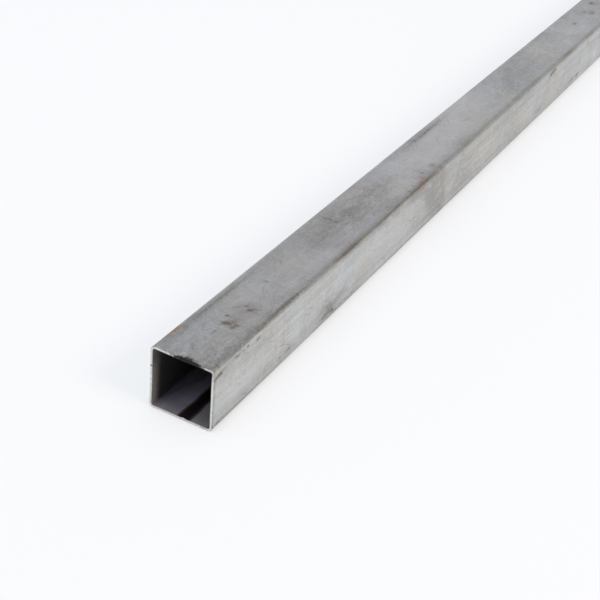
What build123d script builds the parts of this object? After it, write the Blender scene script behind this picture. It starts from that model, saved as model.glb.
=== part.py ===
from build123d import *
import os

# Square steel tube: strip is roll-formed to a square section, welded along one seam and sawn to
# length. Units are millimetres and +Z is up. The tube lies along Y on its welded side, and the
# origin is the middle of its underside.

# Driving dimensions
SIDE = 40.0         # outside width and height of the section
WALL = 1.5          # strip thickness
BEND_RADIUS = 1.5   # inside radius of each formed corner
LENGTH = 1000.0     # sawn length
SEAM_OFFSET = 2.0   # how far the seam lies to +X of the middle of its side
BEAD_WIDTH = 3.0    # inside weld bead, measured across the seam
BEAD_HEIGHT = 0.5   # how far that bead stands up from the inner face

# Sizes that follow from them
OUTER_RADIUS = BEND_RADIUS + WALL   # the strip keeps its thickness round each corner
BORE = SIDE - 2 * WALL              # clear width and height inside
AXIS_HEIGHT = SIDE / 2              # the section's centre above the floor
BEAD_ROOT = WALL / 2                # the bead's fused depth ends in the middle of the wall


def tube_section() -> Sketch:
    """The section seen along the tube: a ring of one wall thickness with the weld bead inside."""
    with BuildSketch(Plane.XZ) as section:
        with Locations((0, AXIS_HEIGHT)):
            RectangleRounded(SIDE, SIDE, OUTER_RADIUS)
            RectangleRounded(BORE, BORE, BEND_RADIUS, mode=Mode.SUBTRACT)
        left = SEAM_OFFSET - BEAD_WIDTH / 2
        right = SEAM_OFFSET + BEAD_WIDTH / 2
        with BuildLine():
            ThreePointArc((left, WALL), (SEAM_OFFSET, WALL + BEAD_HEIGHT), (right, WALL))
            Polyline((right, WALL), (right, BEAD_ROOT), (left, BEAD_ROOT), (left, WALL))
        make_face()
    return section.sketch


def square_tube() -> Part:
    """The section drawn out by half the length each way, which leaves two square-sawn ends."""
    tube = extrude(tube_section(), amount=LENGTH / 2, both=True)
    tube.label = "square_tube"
    return tube


os.makedirs("parts", exist_ok=True)
export_step(square_tube(), "parts/square_tube.step")
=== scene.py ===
"""Dresses a packed square steel tube and sets it in a plain pale studio.

The tube is one closed surface, worked out as arrays from two parameters: the walk round its section, and
the loop that runs along the outside, over the far sawn end, back along the bore and over the near one.
Lengths are metres, +Z is up, and the tube lies along Y.
"""

from __future__ import annotations

import functools
import logging
import math
from dataclasses import dataclass
from enum import Enum, IntEnum
from typing import Any, TypeVar

import bpy
import numpy as np
from mathutils import Matrix, Vector

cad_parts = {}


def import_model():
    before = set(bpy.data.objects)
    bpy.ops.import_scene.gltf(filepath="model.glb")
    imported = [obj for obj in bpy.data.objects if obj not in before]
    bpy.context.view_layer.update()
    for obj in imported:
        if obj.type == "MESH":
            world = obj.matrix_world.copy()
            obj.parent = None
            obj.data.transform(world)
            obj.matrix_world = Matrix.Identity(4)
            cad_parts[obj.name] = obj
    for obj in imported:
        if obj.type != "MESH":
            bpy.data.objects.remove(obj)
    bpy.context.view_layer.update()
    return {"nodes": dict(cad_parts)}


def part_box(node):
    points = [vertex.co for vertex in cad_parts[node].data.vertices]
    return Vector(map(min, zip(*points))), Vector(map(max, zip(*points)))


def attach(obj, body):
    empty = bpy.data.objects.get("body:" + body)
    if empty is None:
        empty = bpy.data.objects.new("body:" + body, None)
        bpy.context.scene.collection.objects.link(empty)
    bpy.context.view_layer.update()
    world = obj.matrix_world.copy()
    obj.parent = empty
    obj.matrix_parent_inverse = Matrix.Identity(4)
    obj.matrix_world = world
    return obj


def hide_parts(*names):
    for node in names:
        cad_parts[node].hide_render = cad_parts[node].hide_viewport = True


LOG = logging.getLogger("square_tube")
NODE = "square_tube"
SHEET_MAP = "sheet"
BAKE_MAP = "OFBake"
Colour = tuple[float, float, float]     # linear red, green and blue
Point = tuple[float, float, float]      # X, Y and Z, or a factor for each
Lengths = TypeVar("Lengths", np.ndarray, "Wire")


class Face(IntEnum):
    """The four sides in the order that the section is walked, each in the walk's direction."""

    LEFT = 0    # upwards
    TOP = 1     # towards +X
    RIGHT = 2   # downwards
    UNDER = 3   # towards -X


class Stuff(Enum):
    """What lies on the steel. The value names the mesh attribute that holds how much of it."""

    GRIME = "grime"
    HAZE = "haze"
    RUST = "rust"
    # rubbed metal, and the painted highlight line past the top bend
    RUBBED_AND_SHEEN = "rubbed_and_sheen"
    TAR = "tar"


class Skin(IntEnum):
    """The tube's three finishes, numbered as its material slots are."""

    OUTSIDE = 0
    BORE = 1
    SAWN = 2


def grid_corners(rows: np.ndarray, columns: np.ndarray) -> np.ndarray:
    """The corner values of every face of a grid.

    Args:
        rows: one value for each row and one more that closes the last face.
        columns: one value for each column and one more that closes the last face.

    Returns:
        For each face its four corners' row and column values, of shape (M, K, 4, 2). The corners go
        across to the next column first, then on to the next row.
    """
    near, ahead = rows[:-1, None], rows[1:, None]
    left, right = columns[None, :-1], columns[None, 1:]
    corners = ((near, left), (near, right), (ahead, right), (ahead, left))
    pairs = [np.stack(np.broadcast_arrays(row, column), axis=-1) for row, column in corners]
    return np.stack(pairs, axis=2)


def turned(first: Lengths, second: Lengths, lean: float) -> tuple[Lengths, Lengths]:
    """Two distances at right angles, as measured along and across a line that leans.

    Args:
        first: the distance that the lean starts from.
        second: the distance that it goes towards.
        lean: the line's angle, in degrees.

    Returns:
        first * cos(lean) + second * sin(lean), and second * cos(lean) - first * sin(lean).
    """
    cosine, sine = math.cos(math.radians(lean)), math.sin(math.radians(lean))
    return first * cosine + second * sine, second * cosine - first * sine


@dataclass(frozen=True)
class Stain:
    """A soft patch on a side: where its middle is, how large it is and how strong.

    along is measured from the near end, and across from the side's first edge in the walk. turn is the
    patch's lean in degrees, from along the tube towards across it.
    """

    face: Face
    along: float
    across: float
    length: float
    width: float
    strength: float
    turn: float = 0.0
    skin: Skin = Skin.OUTSIDE

    def field(self, along: np.ndarray, around: np.ndarray, side: float) -> np.ndarray:
        """How much of the patch lies at each point.

        The patch fades as strength times exp(-(a / half length)^2 - (b / half width)^2), where a and b are
        the distances from its middle along and across its own turned axes. Distances round the section
        take the shorter way.

        Args:
            along: distances from the near end.
            around: distances round the square outline, from the walk's start.
            side: the section's outside width.

        Returns:
            The patch's strength at each point, from 0 to strength.
        """
        perimeter = 4 * side
        centre = self.face * side + self.across
        down = along - self.along
        over = (around - centre + perimeter / 2) % perimeter - perimeter / 2
        a, b = turned(down, over, self.turn)
        return self.strength * np.exp(-((2 * a / self.length) ** 2) - (2 * b / self.width) ** 2)


@dataclass(frozen=True)
class Dent:
    """A small knock pressed into the wall, as deep as depth at its middle."""

    face: Face
    along: float
    across: float
    size: float
    depth: float

    def field(self, along: np.ndarray, around: np.ndarray, side: float) -> np.ndarray:
        """How far the wall is pressed in at each point, with the fade of a round Stain.

        Args:
            along: distances from the near end.
            around: distances round the square outline.
            side: the section's outside width.

        Returns:
            Depths in metres.
        """
        patch = Stain(self.face, self.along, self.across, self.size, self.size, self.depth)
        return patch.field(along, around, side)


@dataclass(frozen=True)
class Outline:
    """The section as arrays over the walk: bend-centre points, outward normals and outline distances."""

    base: np.ndarray      # (K, 2) points of the square through the bend centres, X and Z
    normal: np.ndarray    # (K, 2) unit normals
    around: np.ndarray    # (K,) distance round the square outline
    flat: np.ndarray      # (K,) 1 in the middle of a flat, falling to 0 at its two edges


@dataclass(frozen=True)
class Section:
    """The rolled and welded section."""

    side: float
    wall: float = 0.0015
    bend_radius: float = 0.0015
    seam_offset: float = 0.002
    bead_width: float = 0.003
    bead_height: float = 0.0005

    bead_fill: float = 0.82       # keeps the bead's swells within its height
    flat_step: float = 0.0014     # between points on a flat,
    bead_step: float = 0.00025    # under the bead,
    bend_steps: int = 5           # and the steps in half a bend

    @property
    def outer_radius(self) -> float:
        """Outside corner radius."""
        return self.bend_radius + self.wall

    @property
    def seam_across(self) -> float:
        """The seam's distance across the underside, which is walked towards -X."""
        return self.side / 2 - self.seam_offset

    def side_steps(self, face: Face) -> np.ndarray:
        """Distances across one side at which the section has points, from its first corner's middle.

        Args:
            face: the side. The underside has close points under the weld bead.

        Returns:
            Increasing distances that start at 0 and stop short of the side's width.
        """
        radius, side = self.outer_radius, self.side
        bend = np.linspace(0, radius, self.bend_steps, endpoint=False)
        count = round((side - 2 * radius) / self.flat_step)
        flat = np.linspace(radius, side - radius, count + 1)
        if face is Face.UNDER:
            reach = self.bead_width
            fine = np.arange(self.seam_across - reach, self.seam_across + reach, self.bead_step)
            flat = np.concatenate([flat[np.abs(flat - self.seam_across) > reach + self.bead_step], fine])
        return np.sort(np.concatenate([bend, flat, side - bend[1:]]))

    def outline(self) -> Outline:
        """Walks the section once round.

        A point's base lies on the square through the bend centres. Its normal is the side's own on the
        flat, and turns evenly by 45 degrees over half a bend at each end, so that base + r * normal is
        the section's outline at any radius r.

        Returns:
            The walk's arrays.
        """
        half, radius = self.side / 2, self.outer_radius
        reach = half - radius
        out, ahead = np.array([-1.0, 0.0]), np.array([0.0, 1.0])
        bases, normals, arounds, flats = [], [], [], []
        for face in Face:
            across = self.side_steps(face)
            from_middle = across - half
            beyond = np.sign(from_middle) * np.maximum(np.abs(from_middle) - reach, 0) / radius
            turn = (beyond * math.pi / 4)[:, None]
            bases.append(out * reach + ahead * np.clip(from_middle, -reach, reach)[:, None])
            normals.append(out * np.cos(turn) + ahead * np.sin(turn))
            arounds.append(face * self.side + across)
            flats.append(np.maximum(1 - (from_middle / reach) ** 2, 0))
            out, ahead = ahead, -out
        base = np.concatenate(bases) + np.array([0.0, half])
        return Outline(base, np.concatenate(normals), np.concatenate(arounds), np.concatenate(flats))

    def bead(self, along: np.ndarray, around: np.ndarray) -> np.ndarray:
        """Height of the weld bead above the inner face.

        An arc through the bead's width and height, which wanders and swells a little along the tube as
        sums of sines. It is 0 away from the seam.

        Args:
            along: distances from the near end.
            around: distances round the square outline.

        Returns:
            Heights in metres.
        """
        wander = 0.00012 * np.sin(along * 61) + 0.00008 * np.sin(along * 173 + 1.0)
        swell = 1 + 0.12 * np.sin(along * 410 + 0.4) + 0.10 * np.sin(along * 1130) * np.sin(along * 97)
        arc_radius = (self.bead_width ** 2 / 4 + self.bead_height ** 2) / (2 * self.bead_height)
        across = around - Face.UNDER * self.side - self.seam_across - wander
        rise = np.sqrt(np.maximum(arc_radius ** 2 - across ** 2, 0)) - (arc_radius - self.bead_height)
        return np.maximum(rise, 0) * swell * self.bead_fill


@dataclass(frozen=True)
class SawnEnd:
    """The rim that the saw leaves: an outer edge just broken, a flat cut and a ragged burr inside."""

    edge_break: float = 0.00040
    burr: float = 0.00004
    saw_relief: float = 0.00003
    saw_rise: float = 0.013       # from wave to wave of the cut, upwards
    saw_drift: float = 0.004      # how far to the side the wave shifts by a radian
    seed: int = 4

    break_points: int = 4         # rows over the broken edge
    cut_points: int = 5           # rows on the flat cut, and the shares of the wall that they lie between
    cut_shares: tuple[float, float] = (0.35, 0.86)
    break_rows: int = 2           # faces across the broken edge that keep the outside's finish
    lip_rows: int = 5             # faces across the burr, and what lies behind it, which get the bore's darker finish as painted shade
    # The burr's rows: each one's share of the wall, depth behind the end and share of the burr.
    lip: tuple[tuple[float, float, float], ...] = (
        (0.99, 0.0, 0.4),
        (1.0, 0.00004, 1.0),
        (1.0, 0.00016, 0.7),
        (1.0, 0.0005, 0.0),
    )

    @property
    def burr_depth(self) -> float:
        """How far in the last of the burr's rows is."""
        return self.lip[-1][1]

    def rows(self, wall: float) -> tuple[np.ndarray, np.ndarray, np.ndarray]:
        """The rim's rows from the outer skin to the bore.

        The broken edge is a quarter circle. At the angle a it lies edge_break * (1 - cos a) under the
        outer skin and edge_break * (1 - sin a) behind the end.

        Args:
            wall: the wall's thickness.

        Returns:
            Each row's share of the wall, its depth behind the end's plane, and its share of the burr.
        """
        angles = np.radians(np.linspace(0, 90, self.break_points))
        flat = np.zeros(self.cut_points)
        lip = np.array(self.lip)
        broken = self.edge_break * (1 - np.cos(angles)) / wall
        share = np.concatenate([broken, np.linspace(*self.cut_shares, self.cut_points), lip[:, 0]])
        depth = np.concatenate([self.edge_break * (1 - np.sin(angles)), flat, lip[:, 1]])
        burred = np.concatenate([np.zeros(self.break_points), flat, lip[:, 2]])
        return share, depth, burred

    def ragged(self, around: np.ndarray, side: float) -> np.ndarray:
        """How far the burr stands out, as a share of its full size.

        The positive part of a sum of sines that close on themselves round the section, with seeded
        sizes and phases.

        Args:
            around: distances round the square outline.
            side: the section's outside width.

        Returns:
            Shares from 0 to 1.
        """
        rng = np.random.default_rng(self.seed)
        waves = np.array([2, 3, 5, 9, 14, 23, 37, 53])
        size = rng.uniform(0.5, 1.0, len(waves)) / np.sqrt(waves)
        phase = rng.uniform(0, 2 * math.pi, len(waves))
        turns = 2 * math.pi * around[:, None] * waves / (4 * side)
        height = 0.45 + (size * np.sin(turns + phase)).sum(1)
        return np.clip(height, 0.05, 1.0)


@dataclass(frozen=True)
class Loop:
    """The rows round the wall as arrays."""

    along: np.ndarray   # (M,) distance from the near end
    share: np.ndarray   # (M,) share of the wall's thickness: 0 outside, 1 in the bore
    burr: np.ndarray    # (M,) share of the burr
    skin: np.ndarray    # (M,) finish of the faces between this row and the next


@dataclass(frozen=True)
class Stock:
    """The length of tube as it lies: section, two sawn ends, slight rolling waves and knocks."""

    section: Section
    length: float
    near: SawnEnd
    far: SawnEnd
    dents: tuple[Dent, ...]
    stains: dict[Stuff, tuple[Stain, ...]]

    hollow: float = 0.00006
    wave: float = 0.00002
    # The waves along the walls: turns round the section, and the length of one.
    waves: tuple[tuple[int, float], ...] = ((3, 0.31), (5, 0.17), (7, 0.11), (9, 0.07), (4, 0.05))
    end_step: float = 0.00025     # between rows beside a rim, and the widest ones:
    near_step: float = 0.0024     # on the near half's outside,
    far_step: float = 0.008       # on the far half's
    bore_step: float = 0.012      # and in the bore
    growth: float = 0.22          # how fast the spacing widens outside
    bore_growth: float = 0.04
    seed: int = 11

    def stations(self, growth: float, largest: float) -> np.ndarray:
        """Distances from an end to the middle of the tube, close together at the end.

        The spacing wanted at a distance d past the rim's rows is end_step + growth * d, up to largest.
        The stations are where the running total of 1 / spacing passes equal steps.

        Args:
            growth: how fast the spacing widens.
            largest: the widest spacing.

        Returns:
            Increasing distances, from just behind the rim to half the length.
        """
        fine = np.linspace(self.near.burr_depth, self.length / 2, 4000)
        spacing = np.minimum(self.end_step + growth * (fine - fine[0]), largest)
        total = np.concatenate([[0], np.cumsum(np.diff(fine) / spacing[:-1])])
        return np.interp(np.linspace(0, total[-1], math.ceil(total[-1]) + 1), total, fine)

    def loop(self) -> Loop:
        """The rows round the wall: outside from near to far, far rim, bore from far to near, near rim.

        Returns:
            The loop's arrays. A row's skin is that of the faces between it and the next row.
        """
        near, far = self.near.rows(self.section.wall), self.far.rows(self.section.wall)
        close, wide = (self.stations(self.growth, step) for step in (self.near_step, self.far_step))
        bore = self.stations(self.bore_growth, self.bore_step)
        outside = np.concatenate([close, self.length - wide[-2::-1]])
        inside = np.concatenate([self.length - bore[1:], bore[-2:0:-1]])
        parts = (
            (Skin.OUTSIDE, outside, np.zeros(len(outside)), np.zeros(len(outside))),
            (Skin.SAWN, self.length - far[1], far[0], far[2]),
            (Skin.BORE, inside, np.ones(len(inside)), np.zeros(len(inside))),
            (Skin.SAWN, near[1][::-1], near[0][::-1], near[2][::-1]),
        )
        along, share, burr = (np.concatenate([part[k] for part in parts]) for k in (1, 2, 3))
        skin = np.concatenate([np.full(len(part[1]), part[0]) for part in parts])
        # The broken outer edge has the outside's finish, and the burr the bore's darker one, which paints
        # shade on the rim's inner edge.
        start, end = len(outside), len(outside) + len(far[0])
        skin[start:start + self.far.break_rows] = Skin.OUTSIDE
        skin[end - self.far.lip_rows:end] = Skin.BORE
        skin[-len(near[0]):len(skin) - len(near[0]) + self.near.lip_rows - 1] = Skin.BORE
        skin[-self.near.break_rows - 1:] = Skin.OUTSIDE
        return Loop(along, share, burr, skin)

    def rolling(self, along: np.ndarray, outline: Outline) -> np.ndarray:
        """How far the wall lies inside its nominal place.

        Each flat is slightly hollow, and long shallow waves run along it. Both fade to nothing at the
        bends, so the tube keeps its full size there. Dents are added.

        Args:
            along: distances from the near end, one for each row.
            outline: the section's walk.

        Returns:
            Depths for each row and point.
        """
        rng = np.random.default_rng(self.seed)
        rows, around = along[:, None], outline.around[None, :]
        waves = np.zeros((len(along), len(outline.around)))
        for turns, length in self.waves:
            phase = rng.uniform(0, 2 * math.pi)
            cycle = turns * around / (4 * self.section.side) + rows / length
            waves += (1 + np.sin(2 * math.pi * cycle + phase)) * self.wave
        pressed = outline.flat[None, :] * (self.hollow + waves)
        for dent in self.dents:
            pressed = pressed + dent.field(rows, around, self.section.side)
        return pressed

    def points(self, loop: Loop, outline: Outline) -> np.ndarray:
        """The surface's points.

        A point is base + normal * (outer radius - share * thickness - pressed - burr), where thickness
        is the wall with the weld bead on it. Its Y is the row's distance along the tube, and on a rim
        the cut waves slightly, always inside the end's plane.

        Args:
            loop: the rows round the wall.
            outline: the walk round the section.

        Returns:
            Points of shape (M, K, 3).
        """
        section = self.section
        along, share = loop.along[:, None], loop.share[:, None]
        thickness = section.wall + section.bead(along, outline.around[None, :])
        near_half = along < self.length / 2
        lips = [end.burr * end.ragged(outline.around, section.side) for end in (self.near, self.far)]
        burr = loop.burr[:, None] * np.where(near_half, lips[0], lips[1])
        radius = section.outer_radius - share * thickness - self.rolling(loop.along, outline) - burr
        across = outline.base + outline.normal * radius[..., None]
        sideways, upwards = across[..., 0] / self.near.saw_drift, across[..., 1] / self.near.saw_rise
        cut = np.sin(2 * math.pi * upwards + sideways)
        on_rim = (loop.share > 0) & (loop.burr == 0) & (loop.skin == Skin.SAWN)
        inwards = on_rim[:, None] * self.near.saw_relief * (1 + cut) * np.where(near_half, 1, -1)
        place = along + inwards - self.length / 2
        height = np.maximum(across[..., 1], 0.0)    # rounding leaves the underside a hair low
        return np.stack([across[..., 0], place, height], axis=-1)

    def amounts(self, stuff: Stuff, loop: Loop, outline: Outline) -> np.ndarray:
        """How much of one kind of stuff lies at each point: the sum of its stains, up to 1.

        Args:
            stuff: what is asked for.
            loop: the rows round the wall.
            outline: the walk round the section.

        Returns:
            Amounts of shape (M, K).
        """
        total = np.zeros((len(loop.along), len(outline.around)))
        before = np.roll(loop.skin, 1)
        for stain in self.stains.get(stuff, ()):
            wears = (loop.skin == stain.skin) | (before == stain.skin)
            field = stain.field(loop.along[:, None], outline.around[None, :], self.section.side)
            total += wears[:, None] * field
        return np.clip(total, 0, 1)

    def sheet_map(self, loop: Loop, outline: Outline) -> np.ndarray:
        """The map that the finishes read: distance along the tube and round its outline, in metres.

        Args:
            loop: the rows round the wall.
            outline: the walk round the section.

        Returns:
            A place for each corner of each face, of shape (M, K, 4, 2).
        """
        rows = np.append(loop.along, loop.along[0])
        columns = np.append(outline.around, 4 * self.section.side)
        return grid_corners(rows, columns)

    def bake_map(self, loop: Loop, outline: Outline) -> np.ndarray:
        """A map without overlaps for painting the finishes: each skin's two halves are strips.

        The outside gets most of the room. A rim's strip runs round the section, and the other strips
        run along the tube.

        Args:
            loop: the rows round the wall.
            outline: the walk round the section.

        Returns:
            A place for each corner of each face, of shape (M, K, 4, 2).
        """
        half = self.length / 2
        sheet = self.sheet_map(loop, outline)
        round_it = sheet[..., 1] / (4 * self.section.side)
        is_far = (sheet[..., 0].mean(-1) > half)[..., None]
        reach = (sheet[..., 0] - is_far * half) / half
        step = np.hypot(np.diff(loop.along, append=loop.along[0]),
                        np.diff(loop.share, append=loop.share[0]) * self.section.wall)
        climb = grid_corners(self.rim_climb(loop, step), np.zeros(len(outline.around) + 1))[..., 0]
        strips = {
            Skin.OUTSIDE: ((0.0, 0.355), (0.360, 0.715), reach, round_it),
            Skin.BORE: ((0.720, 0.835), (0.840, 0.955), reach, round_it),
            Skin.SAWN: ((0.960, 0.977), (0.982, 0.999), round_it, climb),
        }
        places = np.zeros_like(sheet)
        for skin, (near, far, forth, up) in strips.items():
            low = np.where(is_far, far[0], near[0])
            rise = np.where(is_far, far[1] - far[0], near[1] - near[0])
            worn = (loop.skin == skin)[:, None, None]
            places[..., 0] += worn * (0.002 + 0.996 * forth)
            places[..., 1] += worn * (low + rise * up)
        return places

    @staticmethod
    def rim_climb(loop: Loop, step: np.ndarray) -> np.ndarray:
        """How far across its rim each row lies, from 0 to 1, by the distance walked over the rim.

        Args:
            loop: the rows round the wall.
            step: the distance from each row to the next.

        Returns:
            One value for each row, and the first one again for the row that closes the loop.
        """
        sawn = loop.skin == Skin.SAWN
        starts = sawn & ~np.roll(sawn, 1)
        walked = np.concatenate([[0], np.cumsum(step * sawn)])
        runs = np.cumsum(starts)
        climb = np.zeros(len(walked))
        for run in range(1, runs[-1] + 1):
            rows = np.flatnonzero(sawn & (runs == run))
            rows = np.append(rows, rows[-1] + 1)
            climb[rows] = (walked[rows] - walked[rows[0]]) / (walked[rows[-1]] - walked[rows[0]])
        return climb


@dataclass(frozen=True)
class TubePiece:
    """The tube as one mesh that stands for its CAD solid."""

    stock: Stock
    name: str = "tube_skin"

    def build(self, materials: list[bpy.types.Material]) -> bpy.types.Object:
        """Makes the object from the stock's arrays.

        Point (i, j) of the grid has the number i * K + j, and a face joins (i, j), (i, j + 1),
        (i + 1, j + 1) and (i + 1, j), where the last row and column are followed by the first.

        Args:
            materials: the finishes in the order of Skin.

        Returns:
            The linked object, with its maps, amounts and finishes.
        """
        outline, loop = self.stock.section.outline(), self.stock.loop()
        points = self.stock.points(loop, outline)
        count = points.shape[0] * points.shape[1]
        number = np.arange(count).reshape(points.shape[:2])
        across = np.roll(number, -1, axis=1)
        ahead = np.roll(number, -1, axis=0)
        quads = np.stack([number, across, np.roll(across, -1, axis=0), ahead], axis=-1)
        mesh = bpy.data.meshes.new(self.name)
        mesh.vertices.add(count)
        mesh.vertices.foreach_set("co", points.astype(np.float32).ravel())
        mesh.loops.add(count * 4)
        mesh.loops.foreach_set("vertex_index", quads.astype(np.int32).ravel())
        mesh.polygons.add(count)
        mesh.polygons.foreach_set("loop_start", np.arange(0, count * 4, 4, dtype=np.int32))
        for material in materials:
            mesh.materials.append(material)
        skins = np.repeat(loop.skin, points.shape[1]).astype(np.int32)
        mesh.polygons.foreach_set("material_index", skins)
        maps = {SHEET_MAP: self.stock.sheet_map, BAKE_MAP: self.stock.bake_map}
        for name, lay_out in maps.items():
            layer = mesh.uv_layers.new(name=name, do_init=False)
            layer.uv.foreach_set("vector", lay_out(loop, outline).astype(np.float32).ravel())
        for stuff in Stuff:
            amounts = self.stock.amounts(stuff, loop, outline)
            attribute = mesh.attributes.new(stuff.value, "FLOAT", "POINT")
            attribute.data.foreach_set("value", amounts.astype(np.float32).ravel())
        mesh.update(calc_edges=True)
        mesh.validate()
        mesh.shade_smooth()
        piece = bpy.data.objects.new(self.name, mesh)
        bpy.context.scene.collection.objects.link(piece)
        LOG.info("%s: %d points, %d faces", self.name, count, len(mesh.polygons))
        return piece


class Wire:
    """One value in a shader: a node's output on which sums can be written, each of which adds a node."""

    def __init__(self, board: Board, socket: bpy.types.NodeSocket) -> None:
        """Keeps the socket with the board that its nodes are on."""
        self.board, self.socket = board, socket

    def __add__(self, other: Wire | float) -> Wire:
        """The sum of the two."""
        return self.board.maths("ADD", self, other)

    def __sub__(self, other: Wire | float) -> Wire:
        """This less the other."""
        return self.board.maths("SUBTRACT", self, other)

    def __rsub__(self, other: float) -> Wire:
        """The other less this."""
        return self.board.maths("SUBTRACT", other, self)

    def __mul__(self, other: Wire | float) -> Wire:
        """The product of the two."""
        return self.board.maths("MULTIPLY", self, other)

    def __mod__(self, other: Wire | float) -> Wire:
        """What is left of this after whole multiples of the other, never negative."""
        return self.board.maths("FLOORED_MODULO", self, other)

    __radd__, __rmul__ = __add__, __mul__

    def size(self) -> Wire:
        """This without its sign."""
        return self.board.maths("ABSOLUTE", self)

    def at_least(self, other: Wire | float) -> Wire:
        """The larger of the two."""
        return self.board.maths("MAXIMUM", self, other)

    def at_most(self, other: Wire | float) -> Wire:
        """The smaller of the two."""
        return self.board.maths("MINIMUM", self, other)

    def share(self) -> Wire:
        """This, kept from 0 to 1."""
        return self.at_least(0.0).at_most(1.0)

    def rise(self, low: float, high: float) -> Wire:
        """A smooth step from 0 at low to 1 at high, or the other way where low is the larger.

        Args:
            low: where the step starts.
            high: where it ends.

        Returns:
            The step's value.
        """
        start, end = min(low, high), max(low, high)
        ends = (0.0, 1.0) if low < high else (1.0, 0.0)
        inputs = {"Value": self, "From Min": start, "From Max": end, "To Min": ends[0], "To Max": ends[1]}
        return self.board.node("ShaderNodeMapRange", {"interpolation_type": "SMOOTHSTEP"}, inputs)


class Board:
    """A material's or world's node tree, on which every node is placed by one method."""

    def __init__(self, tree: bpy.types.NodeTree) -> None:
        """Starts on an empty tree."""
        self.tree = tree
        tree.nodes.clear()

    def node(self, kind: str, settings: dict[str, Any] | None = None,
             inputs: dict[str | int, Any] | None = None, output: str | int = 0) -> Wire:
        """Adds a node.

        Args:
            kind: the node's type.
            settings: its properties, set first. "stops" fills a colour ramp with (place, colour) pairs.
            inputs: values or wires for its sockets, by name or number.
            output: the socket that is wanted.

        Returns:
            That output.
        """
        node = self.tree.nodes.new(kind)
        for name, value in (settings or {}).items():
            if name == "stops":
                self.fill_ramp(node.color_ramp, value)
            else:
                setattr(node, name, value)
        for name, value in (inputs or {}).items():
            if isinstance(value, Wire):
                self.tree.links.new(value.socket, node.inputs[name])
            else:
                node.inputs[name].default_value = value
        return Wire(self, node.outputs[output] if len(node.outputs) else None)

    @staticmethod
    def fill_ramp(ramp: bpy.types.ColorRamp, stops: list[tuple[float, Colour]]) -> None:
        """Puts the stops into a colour ramp.

        Args:
            ramp: the ramp, which has two stops of its own.
            stops: places and colours, in order.
        """
        while len(ramp.elements) < len(stops):
            ramp.elements.new(1.0)
        for element, (place, colour) in zip(ramp.elements, stops):
            element.position = place
            element.color = (*colour, 1.0)

    def maths(self, operation: str, first: Wire | float, second: Wire | float | None = None) -> Wire:
        """Adds a Math node.

        Args:
            operation: its operation.
            first: its first value.
            second: its second value, where it has one.

        Returns:
            The result.
        """
        inputs = {0: first} if second is None else {0: first, 1: second}
        return self.node("ShaderNodeMath", {"operation": operation}, inputs)

    def mix(self, share: Wire | float, under: Wire | Colour, over: Wire | Colour,
            blend: str = "MIX") -> Wire:
        """Blends two colours.

        Args:
            share: how much of the second shows.
            under: the first colour.
            over: the second colour.
            blend: the Mix node's blend type.

        Returns:
            The blended colour.
        """
        under, over = (c if isinstance(c, Wire) else (*c, 1.0) for c in (under, over))
        return self.node("ShaderNodeMix", {"data_type": "RGBA", "blend_type": blend},
                         {0: share, 6: under, 7: over}, output=2)

    def vector(self, x: Wire | float, y: Wire | float, z: Wire | float = 0.0) -> Wire:
        """A vector from three values."""
        return self.node("ShaderNodeCombineXYZ", None, {0: x, 1: y, 2: z})

    def parts(self, vector: Wire) -> tuple[Wire, Wire, Wire]:
        """Splits a vector.

        Args:
            vector: the vector.

        Returns:
            Its three values.
        """
        split = self.node("ShaderNodeSeparateXYZ", None, {0: vector})
        outputs = split.socket.node.outputs
        return tuple(Wire(self, outputs[axis]) for axis in range(3))

    def noise(self, place: Wire, scale: float, detail: float = 2.0, rough: float = 0.5,
              twist: float = 0.0) -> Wire:
        """Fractal noise from 0 to 1.

        Args:
            place: where it is read.
            scale: cells to a unit of place.
            detail: octaves added to the first.
            rough: how strong the finer octaves are.
            twist: how far the place is distorted.

        Returns:
            The noise's value.
        """
        inputs = {"Vector": place, "Scale": scale, "Detail": detail, "Roughness": rough,
                  "Distortion": twist}
        return self.node("ShaderNodeTexNoise", None, inputs, output="Fac")

    def scaled(self, vector: Wire, by: Point) -> Wire:
        """A vector or colour multiplied value by value."""
        return self.node("ShaderNodeVectorMath", {"operation": "MULTIPLY"}, {0: vector, 1: by})

    def toned(self, colour: Wire, by: Wire | float) -> Wire:
        """A colour made lighter or darker all at once."""
        return self.node("ShaderNodeVectorMath", {"operation": "SCALE"}, {0: colour, "Scale": by})

    def place(self) -> Wire:
        """Object coordinates, in metres."""
        return self.node("ShaderNodeTexCoord", output="Object")

    def sheet(self) -> tuple[Wire, Wire]:
        """The distances along the tube and round its outline, in metres."""
        along, around, _ = self.parts(self.node("ShaderNodeUVMap", {"uv_map": SHEET_MAP}))
        return along, around

    def amount(self, stuff: Stuff) -> Wire:
        """How much of one kind of stuff the mesh holds here."""
        return self.node("ShaderNodeAttribute", {"attribute_name": stuff.value}, output="Fac")

    def flecks(self, amount: Wire, breakup: Wire, bite: float = 2.4) -> Wire:
        """A stain broken into flecks, which crowd together where its amount is high.

        Args:
            amount: the stain's smooth amount.
            breakup: noise from 0 to 1.
            bite: how hard the noise breaks it up.

        Returns:
            The stain's cover, from 0 to 1.
        """
        return (amount * 1.35 + (breakup - 0.5) * bite - 0.62).rise(0.0, 0.9)

    def bump(self, height: Wire, depth: float) -> Wire:
        """The normal of a relief that runs from about 0 to 1 and is depth metres deep."""
        return self.node("ShaderNodeBump", None, {"Height": height, "Distance": depth})

    def metal(self, colour: Wire, metallic: Wire, roughness: Wire, normal: Wire) -> Wire:
        """A Principled shader.

        Args:
            colour: its base colour.
            metallic: how much of it is bare metal.
            roughness: its roughness.
            normal: its normal.

        Returns:
            The shader.
        """
        inputs = {"Base Color": colour, "Metallic": metallic, "Roughness": roughness, "Normal": normal}
        return self.node("ShaderNodeBsdfPrincipled", None, inputs)


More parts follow.
